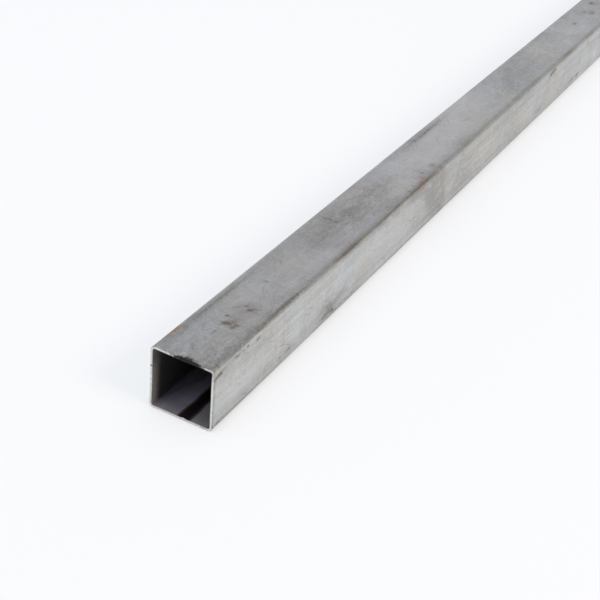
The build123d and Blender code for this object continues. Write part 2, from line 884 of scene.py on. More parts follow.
@dataclass(frozen=True)
class Pattern:
    """A layer of noise on object coordinates."""

    cells: float | Point      # to a metre, all ways or along X, Y and Z
    detail: float = 2.0       # octaves added to the first
    rough: float = 0.5        # how strong the finer octaves are
    twist: float = 0.0        # how far it is distorted

    def read(self, board: Board, place: Wire) -> Wire:
        """The noise.

        Args:
            board: the finish's board.
            place: object coordinates.

        Returns:
            Its value, from 0 to 1.
        """
        if isinstance(self.cells, float):
            return board.noise(place, self.cells, self.detail, self.rough, self.twist)
        return board.noise(board.scaled(place, self.cells), 1.0, self.detail, self.rough, self.twist)


class Finish:
    """A named material whose surface is put together from nodes."""

    name: str

    def surface(self, board: Board) -> Wire:
        """The finish's shader, from its own nodes."""
        raise NotImplementedError

    def material(self) -> bpy.types.Material:
        """Makes the material.

        Returns:
            The material, with this finish's name.
        """
        material = bpy.data.materials.new(self.name)
        material.use_nodes = True
        board = Board(material.node_tree)
        board.node("ShaderNodeOutputMaterial", None, {"Surface": self.surface(board)})
        return material


@dataclass(frozen=True)
class Scratches:
    """Fine straight scratches in one direction.

    Noise that is stretched along the scratches is cut off near its top, which leaves thin broken lines,
    and slower noise keeps them in patches.
    """

    lean: float               # degrees from along the tube
    length: float
    spacing: float
    cut: float                # the noise's height above which a scratch shows
    patches: float = 45.0     # to a metre

    def mask(self, board: Board, ground: Ground) -> Wire:
        """Where the scratches are.

        Args:
            board: the finish's board.
            ground: where the finish lies.

        Returns:
            1 on a scratch, 0 elsewhere.
        """
        forth, over = turned(ground.along, ground.around, self.lean)
        drawn = board.vector(forth * (1 / self.length), over * (1 / self.spacing), self.lean * 0.1)
        lines = board.noise(drawn, 1.0, detail=1.0).rise(self.cut, self.cut + 0.05)
        sheet = board.vector(ground.along, ground.around, self.lean)
        return lines * board.noise(sheet, self.patches, detail=1.0).rise(0.42, 0.62)


@dataclass(frozen=True)
class Ground:
    """Where a finish lies, and the noise that breaks its layers up."""

    place: Wire      # object coordinates
    along: Wire      # distance from the near end
    around: Wire     # distance round the square outline
    cloud: Wire
    grain: Wire
    speck: Wire


@dataclass(frozen=True)
class Strip:
    """A strip that runs along the tube, beside a bend or the seam."""

    middle: float     # from the bend's or the seam's middle, onwards in the walk
    reach: float      # to each side of the strip's own middle
    core: float       # how much of that is at full strength

    def mask(self, beside: Wire) -> Wire:
        """1 in the strip's core, falling to 0 at its reach, by the distance beside the bend or the seam."""
        return (beside - self.middle).size().rise(self.reach, self.core)


@dataclass(frozen=True)
class RolledSteel(Finish):
    """The outside: bare rolled steel, clouded, streaked along its length, scratched and stained, with
    painted highlights past the bends.
    """

    side: float
    seam_around: float
    name: str = "rolled_steel"
    cool: Colour = (0.474, 0.487, 0.496)
    warm: Colour = (0.494, 0.488, 0.468)
    # the soft darker band on the side before each bend
    film: Colour = (0.212, 0.212, 0.199)
    oil: Colour = (0.202, 0.219, 0.166)
    crust: Colour = (0.066, 0.059, 0.052)
    bend_dirt: Colour = (0.114, 0.100, 0.070)
    rust: Colour = (0.270, 0.145, 0.095)
    # pale metal: rubbing, the shaved seam, and painted highlights past the bends
    rubbed_and_sheen: Colour = (0.637, 0.645, 0.640)
    scratch: Colour = (0.200, 0.190, 0.180)
    # bright scratches, and the painted highlight line past the bends
    bright_metal_and_highlight: Colour = (0.780, 0.780, 0.775)
    heat: Colour = (0.300, 0.320, 0.380)
    tar: Colour = (0.010, 0.009, 0.009)
    metallic: float = 0.88
    roughness: float = 0.44
    relief: float = 0.00003

    clouds: Pattern = Pattern((42.0, 25.2, 42.0), 4.0, 0.62)
    grains: Pattern = Pattern(950.0, 3.0, 0.7)
    specks: Pattern = Pattern(520.0, 4.0, 0.7, 0.8)
    tints: Pattern = Pattern(24.0, 3.0)                             # where the steel is warm
    bend_breaks: Pattern = Pattern((40.0, 16.0, 40.0), 4.0, 0.65)   # what breaks up the lines at the bends
    bend_waver: Pattern = Pattern(60.0)                             # what bends them
    pits: Pattern = Pattern(620.0, 2.0, 0.6, 1.2)
    pitted: Pattern = Pattern(34.0)                                 # where the pits are
    drifts: Pattern = Pattern((230.0, 90.0, 230.0), 3.0, 0.6, 1.0)  # what breaks up the haze
    crusted: Pattern = Pattern(48.0, 3.0, 0.6)                      # where the grime is thicker

    # How strongly the noise shows in the bare steel's tone.
    cloud_tone: float = 0.50
    grain_tone: float = 0.74
    tones: tuple[tuple[Pattern, float], ...] = (
        (Pattern(11.0), 0.28),                                  # broad patches
        (Pattern((14.0, 75.0, 14.0), 3.0, 0.6), 0.22),          # haze across the tube
        (Pattern(250.0, 3.0, 0.75), 0.44),                      # mottle
        (Pattern((150.0, 3.0, 150.0), 1.0), 0.20),              # broad roll bands
        (Pattern((1900.0, 26.0, 1900.0), 1.0), 0.12),           # roll lines as thin as a hair
    )
    # The same for two that differ: on the other sides, and on the right one.
    side_tones: tuple[tuple[Pattern, float, float], ...] = (
        (Pattern((380.0, 9.0, 380.0)), 0.16, 0.40),             # roll streaks along the tube
        (Pattern((70.0, 1500.0, 70.0), 2.0, 0.7), 0.34, 0.16),  # fine lines across it
    )
    heated: Strip = Strip(0.0, 0.009, 0.003)
    scarfed: Strip = Strip(0.0, 0.0021, 0.0016)
    # Past each bend: a lighter worn strip, which also paints the ridge's highlight, and a painted highlight
    # line.
    bend_worn_and_highlight: Strip = Strip(0.0021, 0.0008, 0.0002)
    bend_highlight: Strip = Strip(0.0011, 0.0010, 0.0003)
    # The dark lines beside a bend: how dark each is, and the noise's height below which it is missing.
    bend_lines: tuple[tuple[Strip, float, float], ...] = (
        (Strip(-0.0003, 0.0013, 0.00039), 0.34, 0.46),
        (Strip(-0.0022, 0.0009, 0.00027), 0.25, 0.50),
    )
    dark_scratches: tuple[Scratches, ...] = (
        Scratches(24.0, 0.016, 0.00120, 0.65),
        Scratches(-33.0, 0.012, 0.00105, 0.65),
        Scratches(82.0, 0.012, 0.00095, 0.65),
    )
    bright_scratches: tuple[Scratches, ...] = (
        Scratches(4.0, 0.030, 0.00110, 0.64),
        Scratches(97.0, 0.014, 0.00095, 0.64),
        Scratches(-52.0, 0.010, 0.00100, 0.65),
    )
    # The dashes in the crust: their lean in degrees, and cells to a metre along and across them.
    dash_lean: float = 55.0
    dash_cells: tuple[float, float] = (260.0, 1300.0)
    # The tar's whiskers: cells to a metre along the tube and round it.
    hair_cells: tuple[float, float] = (170.0, 1500.0)

    def ground(self, board: Board) -> Ground:
        """Places the noise that the layers share.

        Args:
            board: the material's board.

        Returns:
            Where the finish lies.
        """
        place = board.place()
        noise = (pattern.read(board, place) for pattern in (self.clouds, self.grains, self.specks))
        return Ground(place, *board.sheet(), *noise)

    def tone(self, board: Board, ground: Ground) -> Wire:
        """How light the bare steel is: 1 and each noise's distance from 0.5, times its strength.

        Args:
            board: the material's board.
            ground: where the finish lies.

        Returns:
            A factor around 1.
        """
        from_right = (ground.around - (Face.RIGHT + 0.5) * self.side).size()
        right = from_right.rise(0.54 * self.side, 0.46 * self.side)
        tone = (ground.cloud - 0.5) * self.cloud_tone + (ground.grain - 0.5) * self.grain_tone + 1.0
        for pattern, strength in self.tones:
            tone = tone + (pattern.read(board, ground.place) - 0.5) * strength
        for pattern, plain, on_right in self.side_tones:
            strength = right * (on_right - plain) + plain
            tone = tone + (pattern.read(board, ground.place) - 0.5) * strength
        return tone

    def from_bend(self, around: Wire) -> Wire:
        """The distance from the nearest bend's middle, positive on the side that is walked after it."""
        return (around + self.side / 2) % self.side - self.side / 2

    def bends(self, board: Board, ground: Ground, colour: Wire) -> Wire:
        """Each bend: a soft darker band, thin broken lines of dirt in it, and painted highlights just past
        it.

        Args:
            board: the material's board.
            ground: where the finish lies.
            colour: the steel's colour.

        Returns:
            The colour with the band, the lines and the painted highlights.
        """
        speck = ground.speck
        waver = (self.bend_waver.read(board, ground.place) - 0.5) * 0.0014 + (speck - 0.5) * 0.0012
        beside = self.from_bend(ground.around) + waver
        here = self.bend_breaks.read(board, ground.place)
        # A soft darker band on the side before the bend, reaching a little past it.
        band = beside.rise(-0.0061, -0.0016) * beside.rise(0.0040, 0.0008) * (here * 1.3)
        colour = board.mix(band * 0.56, colour, self.oil)
        for line, dark, missing in self.bend_lines:
            drawn = line.mask(beside) * here.rise(missing, missing + 0.16)
            colour = board.mix(drawn * dark, colour, self.bend_dirt)
        # A lighter worn strip past the bend, which also paints the ridge's highlight line.
        worn = self.bend_worn_and_highlight.mask(beside) * here.rise(0.60, 0.42)
        colour = board.mix(worn * 0.45, colour, self.rubbed_and_sheen)
        # Painted highlight: a bright broken line just past the bend, where the bend is rubbed.
        painted_highlight = self.bend_highlight.mask(beside) * speck.rise(0.42, 0.58)
        return board.mix(painted_highlight * board.amount(Stuff.RUBBED_AND_SHEEN) * 0.65, colour, self.bright_metal_and_highlight)

    def weld(self, board: Board, ground: Ground, colour: Wire) -> Wire:
        """The seam's outside: a band tinted by heat, and the line where its bead was shaved off.

        Args:
            board: the material's board.
            ground: where the finish lies.
            colour: the steel's colour.

        Returns:
            The colour with the seam.
        """
        beside = ground.around - self.seam_around
        heated = self.heated.mask(beside) * (ground.cloud + 0.2)
        colour = board.mix(heated * 0.6, colour, self.heat)
        return board.mix(self.scarfed.mask(beside) * 0.6, colour, self.rubbed_and_sheen)

    def scratched(self, board: Board, ground: Ground, colour: Wire) -> tuple[Wire, Wire]:
        """Bright scratches, dark ones over them, and small pits in patches.

        Args:
            board: the material's board.
            ground: where the finish lies.
            colour: the steel's colour.

        Returns:
            The colour with the scratches, and where the dark ones are.
        """
        glints, marks = (functools.reduce(Wire.at_least, [kind.mask(board, ground) for kind in kinds])
                         for kinds in (self.bright_scratches, self.dark_scratches))
        colour = board.mix(glints * 0.30, colour, self.bright_metal_and_highlight)
        colour = board.mix(marks * 0.34, colour, self.scratch)
        pits = self.pits.read(board, ground.place).rise(0.66, 0.74)
        pitted = self.pitted.read(board, ground.place).rise(0.44, 0.62)
        return board.mix(pits * pitted * 0.42, colour, self.crust), marks

    def filmed(self, board: Board, ground: Ground, colour: Wire) -> Wire:
        """Thin layers that the steel shows through: haze, a breath of rust, and grime's soft edges.

        Args:
            board: the material's board.
            ground: where the finish lies.
            colour: the steel's colour.

        Returns:
            The colour with the films.
        """
        cloud, speck = ground.cloud, ground.speck
        drift = self.drifts.read(board, ground.place)
        breakup = (cloud - 0.5) * 1.2 + (drift - 0.5) * 4.0 + (speck - 0.5) * 3.0 + 1.0
        haze = (board.amount(Stuff.HAZE) * breakup).share()
        colour = board.mix(haze * 0.55, colour, self.film)
        colour = board.mix(board.amount(Stuff.RUST).at_most(0.5) * 0.42, colour, self.rust)
        grime = (board.amount(Stuff.GRIME) * (speck * 1.6 - 0.1)).at_most(1.0)
        return board.mix(grime * 0.5, colour, self.film)

    def crusted_over(self, board: Board, ground: Ground, colour: Wire) -> tuple[Wire, Wire]:
        """Thick layers: leaning dashes of dirt, flecks of rust, and tar that ends in whiskers.

        Args:
            board: the material's board.
            ground: where the finish lies.
            colour: the steel's colour.

        Returns:
            The colour with the crusts, and how far they dull the metal.
        """
        speck = ground.speck
        forth, over = turned(ground.along, ground.around, self.dash_lean)
        drawn = board.vector(forth * self.dash_cells[0], over * self.dash_cells[1])
        dashes = board.noise(drawn, 1.0, detail=3.0, rough=0.65)
        patchy = self.crusted.read(board, ground.place).rise(0.45, 0.75)
        crust = board.flecks(board.amount(Stuff.GRIME) + patchy * 0.22, speck * 0.45 + dashes * 0.55, 3.0)
        colour = board.mix(crust * 0.78, colour, self.crust)
        rusty = board.flecks(board.amount(Stuff.RUST) * 1.25, speck)
        colour = board.mix(rusty * 0.7, colour, self.rust)
        drawn = board.vector(ground.along * self.hair_cells[0], ground.around * self.hair_cells[1])
        hairs = board.noise(drawn, 1.0)
        tarred = board.flecks(board.amount(Stuff.TAR) * 1.5, hairs * 0.75 + speck * 0.25, 3.6)
        colour = board.mix(tarred * 0.94, colour, self.tar)
        return colour, crust.at_least(rusty) * (1 - tarred)

    def surface(self, board: Board) -> Wire:
        """Lays rubbing, the bends' marks and painted highlights, scratches, films and crusts over clouded
        steel.

        Args:
            board: the material's board.

        Returns:
            The shader.
        """
        ground = self.ground(board)
        tint = self.tints.read(board, ground.place).rise(0.36, 0.66)
        colour = board.toned(board.mix(tint, self.cool, self.warm), self.tone(board, ground))
        colour = self.weld(board, ground, colour)
        # Rubbing, and just past the top bend on the right a painted highlight.
        rubbed_and_sheen = (board.amount(Stuff.RUBBED_AND_SHEEN) * (ground.speck + 0.5)).at_most(0.85)
        colour = board.mix(rubbed_and_sheen, colour, self.rubbed_and_sheen)
        colour = self.bends(board, ground, colour)
        colour, marks = self.scratched(board, ground, colour)
        colour = self.filmed(board, ground, colour)
        colour, dull = self.crusted_over(board, ground, colour)
        metallic = (1 - dull * 0.75) * self.metallic
        roughness = (ground.cloud - 0.5) * 0.16 - rubbed_and_sheen * 0.05 + dull * 0.25 + self.roughness
        relief = ground.grain * 0.6 - marks * 0.4 + dull * 0.5
        return board.metal(colour, metallic, roughness, board.bump(relief, self.relief))


@dataclass(frozen=True)
class Hollow:
    """Where a point of the bore lies, as its layers use it."""

    inwards: Wire     # distance from the nearer end
    around: Wire      # distance round the square outline
    on_wall: Wire     # 1 on the walls and the roof, 0 on the bore's floor
    upper: Wire       # 1 high on the left wall
    gap: Wire         # uneven distance across the floor from its left corner
    cloud: Wire


@dataclass(frozen=True)
class OxidisedBore(Finish):
    """The inside: dark mill scale with a blue cast, browner on the walls, burnt beside the weld, and
    painted shade and light.
    """

    side: float
    length: float
    seam_around: float
    name: str = "oxidised_bore"
    blue: Colour = (0.272, 0.264, 0.330)
    brown: Colour = (0.250, 0.220, 0.195)
    # painted light: a lighter scale near the ends and on the floor beside the seam
    lit_scale: Colour = (0.270, 0.265, 0.255)
    # near-black: painted shade deep in and in the floor's left corner, and tar
    shade_and_tar: Colour = (0.030, 0.028, 0.030)
    burnt: Colour = (0.018, 0.013, 0.014)
    singed: Colour = (0.056, 0.026, 0.018)
    rust: Colour = (0.230, 0.110, 0.060)
    metallic: float = 0.30
    roughness: float = 0.50
    relief: float = 0.00003
    clouds: Pattern = Pattern((60.0, 27.0, 60.0), 4.0, 0.62)
    streaks: Pattern = Pattern((420.0, 14.0, 420.0))
    grains: Pattern = Pattern(900.0, 3.0, 0.7)
    wavers: Pattern = Pattern(60.0, 3.0)
    burnt_middle: float = 0.0003      # the burnt band lies to one side of the seam
    burnt_reach: float = 0.0029
    singed_reach: float = 0.0041
    burnt_fade: float = 0.0006
    lit_depth: float = 0.005        # how far in the painted light near the ends reaches
    wall_depth: float = 0.0088        # how far in the painted shade darkens the walls fully
    floor_depth: float = 0.060        # and the bore's floor, half as darkened
    lit_band: float = 0.0165        # width of the painted light on the floor beside the seam

    def hollow(self, board: Board, place: Wire) -> Hollow:
        """Works out where each point lies.

        Args:
            board: the material's board.
            place: object coordinates.

        Returns:
            The values that the layers share.
        """
        along, around = board.sheet()
        cloud = self.clouds.read(board, place)
        from_floor = (around - (Face.UNDER + 0.5) * self.side).size()
        return Hollow(
            inwards=along.at_most(self.length - along),
            around=around,
            on_wall=from_floor.rise(0.46 * self.side, 0.50 * self.side),
            upper=around.rise(0.022, 0.034) * around.rise(0.046, 0.040),
            gap=len(Face) * self.side - around + (cloud - 0.5) * 0.006,
            cloud=cloud,
        )

    def painted_shade(self, at: Hollow) -> Wire:
        """How much painted shade the bore gets: by depth on the walls and the floor, and more in the
        floor's left corner.

        Args:
            at: where each point lies.

        Returns:
            A share, the largest of the four.
        """
        inner = at.inwards + (at.cloud - 0.5) * 0.006
        walls = inner.rise(self.wall_depth * 0.3, self.wall_depth) * at.on_wall * (0.95 - at.upper * 0.13)
        floor = inner.rise(self.floor_depth * 0.25, self.floor_depth) * 0.55
        shaded = (at.gap - at.inwards * 0.3).rise(0.0030, -0.0010) * at.gap.rise(-0.004, 0.001)
        corner = at.gap.rise(0.0050, 0.0015) * at.gap.rise(-0.002, 0.001) * at.inwards.rise(0.003, 0.010)
        return walls.at_least(floor).at_least(shaded * 0.42).at_least(corner * 0.72)

    def tone(self, at: Hollow, streak: Wire, grain: Wire) -> Wire:
        """How light the scale is: clouds, streaks and grain, painted light on the floor and painted shade
        in the upper left corner.

        Args:
            at: where each point lies.
            streak: the streaks' noise.
            grain: the fine grain's noise.

        Returns:
            A factor around 1.
        """
        tone = (at.cloud - 0.5) * 0.8 + (streak - 0.5) * 0.3 + (grain - 0.5) * 0.3 + 1.0
        # worn paints light on the floor a little way in and clear of its left corner; the last factor
        # paints shade in the upper left corner near the ends.
        worn = at.gap.rise(0.009, 0.014) * at.inwards.rise(0.009, 0.015) * at.gap.rise(0.040, 0.036)
        return tone * (worn * 0.32 + 1.0) * (1.0 - at.upper * at.inwards.rise(0.009, 0.004) * 0.30)

    def weld(self, board: Board, place: Wire, at: Hollow, colour: Wire) -> tuple[Wire, Wire]:
        """The burnt band beside the seam, with a singed edge. It narrows a little at the ends.

        Args:
            board: the material's board.
            place: object coordinates.
            at: where each point lies.
            colour: the scale's colour.

        Returns:
            The colour with the band, and where it is burnt.
        """
        waver = (self.wavers.read(board, place) - 0.5) * 0.0016
        from_middle = (at.around + waver - (self.seam_around - self.burnt_middle)).size()
        seam = from_middle - at.inwards.rise(0.018, 0.004) * 0.0006
        singed = seam.rise(self.singed_reach, self.burnt_reach + self.burnt_fade)
        burnt = seam.rise(self.burnt_reach, self.burnt_reach - self.burnt_fade)
        colour = board.mix(singed * 0.85, colour, self.singed)
        return board.mix(burnt * 0.95, colour, self.burnt), burnt

    def surface(self, board: Board) -> Wire:
        """Lays painted shade and the seam's burnt band over clouded scale, with painted light near the ends
        and beside the seam.

        Args:
            board: the material's board.

        Returns:
            The shader.
        """
        place = board.place()
        at = self.hollow(board, place)
        streak, grain = (pattern.read(board, place) for pattern in (self.streaks, self.grains))
        colour = board.mix((at.on_wall * 0.9 + (at.cloud - 0.5) * 0.9).share(), self.blue, self.brown)
        # Painted light: the scale is lighter near the ends.
        colour = board.mix(at.inwards.rise(self.lit_depth, 0.0) * 0.7, colour, self.lit_scale)
        # Painted shade: darker deeper in, and in the floor's left corner.
        colour = board.mix(self.painted_shade(at), colour, self.shade_and_tar)
        # Painted light: the floor from the seam to the right wall is lighter.
        before_seam = self.seam_around - at.around
        beyond = before_seam.rise(0.0, 0.004) * before_seam.rise(self.lit_band, self.lit_band - 0.002)
        colour = board.mix(beyond * 0.45, colour, self.lit_scale)
        colour = board.toned(colour, self.tone(at, streak, grain))
        colour, burnt = self.weld(board, place, at, colour)
        rusty = board.flecks(board.amount(Stuff.RUST), grain)
        colour = board.mix(rusty * 0.75, colour, self.rust)
        tarred = board.flecks(board.amount(Stuff.TAR) * 1.5, grain)
        colour = board.mix(tarred * 0.94, colour, self.shade_and_tar)
        metallic = (1 - rusty * 0.6) * self.metallic + burnt * 0.3 + tarred * 0.3
        roughness = (at.cloud - 0.5) * 0.2 + rusty * 0.25 + self.roughness
        return board.metal(colour, metallic, roughness, board.bump(grain * 0.6 + streak * 0.4, self.relief))


@dataclass(frozen=True)
class SawnSteel(Finish):
    """The cut ends: bright steel with the saw's fine straight lines, and a few dull spots."""

    name: str = "sawn_steel"
    bright: Colour = (0.820, 0.815, 0.806)
    grey: Colour = (0.500, 0.495, 0.485)
    film: Colour = (0.300, 0.290, 0.275)
    crust: Colour = (0.070, 0.062, 0.054)
    rust: Colour = (0.300, 0.150, 0.075)
    tar: Colour = (0.010, 0.009, 0.009)
    metallic: float = 0.92
    roughness: float = 0.36
    relief: float = 0.00002
    mottles: Pattern = Pattern(520.0, 3.0, 0.6)
    line_spacing: float = 0.00026
    line_cells: float = 60.0          # to a metre along the saw's lines
    lean: float = 28.0                # of the lines, in degrees

    def surface(self, board: Board) -> Wire:
        """Lays spots and rust over saw lines.

        Args:
            board: the material's board.

        Returns:
            The shader.
        """
        place = board.place()
        across, _, up = board.parts(place)
        forth, over = turned(across, up, self.lean)
        drawn = board.vector(over * (1 / self.line_spacing), forth * self.line_cells)
        lines = board.noise(drawn, 1.0, detail=2.0)
        mottle = self.mottles.read(board, place)
        share = ((mottle - 0.5) * 1.6 + (lines - 0.5) * 1.2 + 0.25).share()
        colour = board.mix(share, self.bright, self.grey)
        colour = board.mix(board.amount(Stuff.HAZE) * (mottle + 0.3), colour, self.film)
        grime = board.flecks(board.amount(Stuff.GRIME) * 1.2, mottle)
        colour = board.mix(grime * 0.8, colour, self.crust)
        rusty = board.flecks(board.amount(Stuff.RUST) * 1.3, mottle)
        colour = board.mix(rusty * 0.8, colour, self.rust)
        tarred = board.flecks(board.amount(Stuff.TAR) * 1.5, mottle)
        colour = board.mix(tarred * 0.94, colour, self.tar)
        dull = grime.at_least(rusty) * (1 - tarred)
        metallic = (1 - dull * 0.7) * self.metallic
        roughness = (mottle - 0.5) * 0.2 + dull * 0.3 + self.roughness
        return board.metal(colour, metallic, roughness, board.bump(lines * 0.8 + mottle * 0.2, self.relief))


def patches(face: Face, rows: tuple[tuple[float, ...], ...], skin: Skin = Skin.OUTSIDE) -> list[Stain]:
    """Stains on one side of the tube.

    Args:
        face: the side.
        rows: each stain's along, across, length and width in millimetres, its strength, and its turn in
            degrees where it has one.
        skin: the finish that it lies on.

    Returns:
        The stains.
    """
    return [Stain(face, *(size / 1000 for size in row[:4]), *row[4:], skin=skin) for row in rows]


@dataclass(frozen=True)
class Wear:
    """Where the tube is dirty, rusty and rubbed, from storing, oiling and handling."""

    side: float
    length: float
    seed: int = 23
    top_from: float = 0.45        # further along, the top's marks are scattered by chance
    right_from: float = 0.53      # and the right side's
    scattered: int = 46           # chance marks of each kind on a whole side

    def top_grime(self) -> list[Stain]:
        """Dark marks on the top: two spots with a halo near the end, smears, dots and dirty edges.

        Returns:
            The stains.
        """
        return patches(Face.TOP, (
            (40.5, 21.2, 5, 4.4, 1.15), (41.3, 27.0, 6, 3.8, 1.1, 15), (43.2, 23.6, 4, 4, 0.66),
            (38.8, 25.6, 4, 3.4, 0.80), (39.0, 19.4, 7, 1.8, 0.95, 50), (41.2, 18.8, 5, 1.6, 0.80, 50),
            (47.2, 17.2, 2.6, 2.4, 0.60), (47.8, 19.7, 2.6, 2.4, 0.52), (47.5, 24, 6, 6, 0.40),
            (58.2, 17.4, 7, 1.8, 0.85, 50), (61.4, 21.2, 4, 3.4, 0.88), (58.5, 23.8, 4, 3.2, 0.90),
            (60.7, 25.6, 6, 2.8, 0.92, 30), (64, 22, 3, 3, 0.5), (60.6, 28.2, 3, 2.6, 0.7),
            (91, 17, 3, 4, 0.95), (94, 21.5, 3, 6, 0.4), (48, 17, 4, 10, 0.45), (30, 20, 8, 3, 0.4),
            (13, 19, 5, 4, 0.3), (29, 20, 5, 2, 0.4, -20), (72, 5.3, 70, 3.4, 0.60), (40, 5.0, 34, 3, 0.54),
            (343, 6.3, 76, 3.6, 0.85), (300, 1, 120, 3, 0.20), (20, 35, 50, 7, 0.24), (4, 38.3, 8, 4, 0.48),
            (48, 37.8, 20, 4.5, 0.36), (86, 38.4, 60, 3.4, 0.68), (72, 37.6, 30, 2.6, 0.44),
            (148, 39.4, 40, 3.0, 0.58), (200, 39.8, 90, 2.4, 0.76), (266, 39.2, 50, 3.2, 0.80),
            (220, 35.5, 26, 6, 0.52), (162, 16, 34, 6, 0.42), (179, 10, 4.0, 15, 0.82),
            (178, 16.5, 4, 3, 0.56), (192, 20, 14, 18, 0.38), (225, 16, 56, 10, 0.42),
            (219, 31, 22, 9, 0.34), (246, 36, 4, 3, 0.9), (256, 34.5, 4, 3, 0.7), (277, 31.5, 5, 3.5, 1.0),
            (294, 32.5, 6, 4, 0.95), (290, 34.5, 4, 2, 0.8), (308, 34, 14, 8, 0.30),
            (342, 35.0, 26, 5, 0.50), (403, 37, 12, 4, 0.4), (145, 19.4, 28, 2.8, 0.62),
            (158, 20, 12, 3, 0.44), (150, 26, 20, 4, 0.24), (193.8, 20.3, 6, 5, 0.20),
            (152, 39.0, 26, 2.8, 0.46), (170, 8, 22, 4, 0.38), (188, 27, 18, 4, 0.26),
            (214, 10, 20, 4, 0.38), (236, 26, 18, 4, 0.28), (120, 10, 12, 3, 0.24), (207, 18, 14, 3, 0.36),
            (45, 39.6, 60, 1.6, 0.48), (225, 39.0, 100, 1.6, 0.34),
        ))

    def haze(self) -> list[Stain]:
        """Thin oil and scale, in wide soft patches: over the top's middle, and across the right.

        Returns:
            The stains.
        """
        top = patches(Face.TOP, (
            (10, 4, 60, 16, 0.45), (12, 24, 36, 30, 0.40), (40, 22, 40, 20, 0.24), (35, 5, 80, 8, 0.34),
            (60, 21, 16, 13, 0.40), (172, 16, 70, 18, 0.26), (205, 17, 90, 20, 0.42),
            (212, 30, 40, 12, 0.24), (193, 20, 16, 16, 0.30), (500, 20, 4000, 60, 0.05),
            (240, 16, 30, 12, 0.35), (332, 5.4, 64, 5.5, 0.42), (14, 34.5, 60, 8, 0.52),
            (312, -1.4, 230, 5, 1.00), (340, 31, 40, 7, 0.34), (70, 34.5, 90, 6, 0.36),
        ))
        right = patches(Face.RIGHT, (
            (12, 4, 30, 9, 0.30), (42, 6, 44, 14, 0.20), (30, 39.2, 80, 3.4, 0.55), (280, 29, 50, 10, 0.28),
            (132, 30.5, 26, 11, 0.95), (146, 26.5, 14, 4, 0.45), (122, 33.5, 14, 5, 0.40),
            (54, 29, 20, 9, 0.22), (73, 22, 5, 26, 0.34), (96.5, 26, 3.6, 16, 0.30),
            (280, 22, 34, 60, 0.30), (300, 6, 26, 14, 0.26), (190, 33, 200, 10, 0.10),
            (190, 2.5, 150, 6, 0.50), (272, 12, 32, 7, 1.00, 59), (284, 20, 70, 9, 0.70, 62),
            (280, 6, 40, 8, 0.58), (293, 20, 70, 9, 0.66, 66), (301, 20, 70, 8, 0.55, 71),
            (282, 13, 14, 6, 0.60, 70), (338, 26, 66, 50, 0.58), (425, 22, 110, 60, 0.28),
            (455, 28, 60, 40, 0.26), (264, 3, 40, 8, 0.90), (250, 6.5, 16, 5, 0.50),
            (0.6, 20, 2.4, 60, 0.60),
        ))
        rims = patches(Face.TOP, ((0, 24, 4, 20, 0.60), (0, 8, 4, 16, 0.16)), Skin.SAWN)
        rims += patches(Face.LEFT, ((0, 20, 4, 60, 0.22),), Skin.SAWN)
        rims += patches(Face.RIGHT, ((0, 2, 4, 11, 0.70),), Skin.SAWN)
        rims += patches(Face.UNDER, ((0, 20, 4, 60, 0.28),), Skin.SAWN)
        return top + right + rims

    def right_grime(self) -> list[Stain]:
        """Dark marks on the right: a scuffed corner under the bend, a smear low down, and two across it.

        Returns:
            The stains.
        """
        return patches(Face.RIGHT, (
            (3.2, 5.7, 8, 2.8, 1.2, -18), (7.4, 6.2, 2.6, 2.4, 0.85), (11, 3.8, 9, 2.4, 0.58),
            (21.5, 3.2, 6, 3.0, 0.92), (33, 2.8, 4.5, 2.4, 0.84), (43.5, 3.8, 6.5, 3.0, 0.86),
            (27.5, 2.7, 4, 2.2, 0.78), (53, 12.5, 18, 6, 0.35), (55, 31, 22, 8, 0.30),
            (6, 36.6, 13, 4, 0.66), (160, 36.0, 46, 4, 0.60), (128, 34.4, 18, 4, 0.14),
            (30, 36.6, 80, 3, 0.16), (71, 33, 4, 3, 0.5), (81, 32.4, 9, 3, 0.60), (121, 27, 8, 3, 0.46),
            (131, 27.5, 14, 3.5, 0.48), (126, 32.0, 12, 5, 0.32), (134, 31, 10, 7, 0.32),
            (141, 27.5, 8, 3.0, 0.46), (150, 25.5, 12, 3.0, 0.34), (112, 36.5, 10, 2.5, 0.44),
            (124, 34.5, 10, 3, 0.34), (137, 35.5, 10, 3, 0.50), (250, 6.5, 14, 4, 0.35),
            (271, 11, 22, 5, 0.40, 59), (282, 13, 11, 5, 0.55, 75), (330, 18, 10, 16, 0.3),
            (446, 17, 12, 10, 0.42), (432, 23, 8, 4, 0.4), (511, 31, 12, 6, 0.6),
        ))

    def edge_grime(self) -> list[Stain]:
        """The long dark lines beside the bends, on every side.

        Returns:
            The stains.
        """
        beside = {      # each line's place across the side, its width and its strength
            Face.TOP: ((4.4, 3.5, 0.12), (37.2, 4.0, 0.18)),
            Face.RIGHT: ((4.0, 4.0, 0.14), (32.3, 4.6, 0.32)),
            Face.LEFT: ((4.5, 4.5, 0.34), (36.0, 4.0, 0.25)),
            Face.UNDER: ((3.0, 4.0, 0.25), (36.5, 4.0, 0.25)),
        }
        middle, reach = self.length * 500, self.length * 4000
        stains = []
        for face, lines in beside.items():
            rows = tuple((middle, across, reach, width, strength) for across, width, strength in lines)
            stains += patches(face, rows)
        return stains

    def rim_grime(self) -> list[Stain]:
        """Dull places on the near cut, painted shade on the underside's edge at the near end, and the
        smudges round the whiskers on the top beside it.

        Returns:
            The stains.
        """
        cut = patches(Face.TOP, ((0, 23, 4, 20, 1.0), (0, 17, 4, 4, 0.8), (0, 29.5, 4, 5, 0.7)), Skin.SAWN)
        cut += patches(Face.LEFT, ((0, 27, 4, 2.5, 1.0),), Skin.SAWN)
        cut += patches(Face.RIGHT, ((0, 27, 4, 1.8, 0.7),), Skin.SAWN)
        low = ((0, 26, 4, 3, 0.6), (0, 14.5, 4, 2.6, 0.55), (0, 5, 4, 5, 0.6))
        cut += patches(Face.UNDER, low, Skin.SAWN)
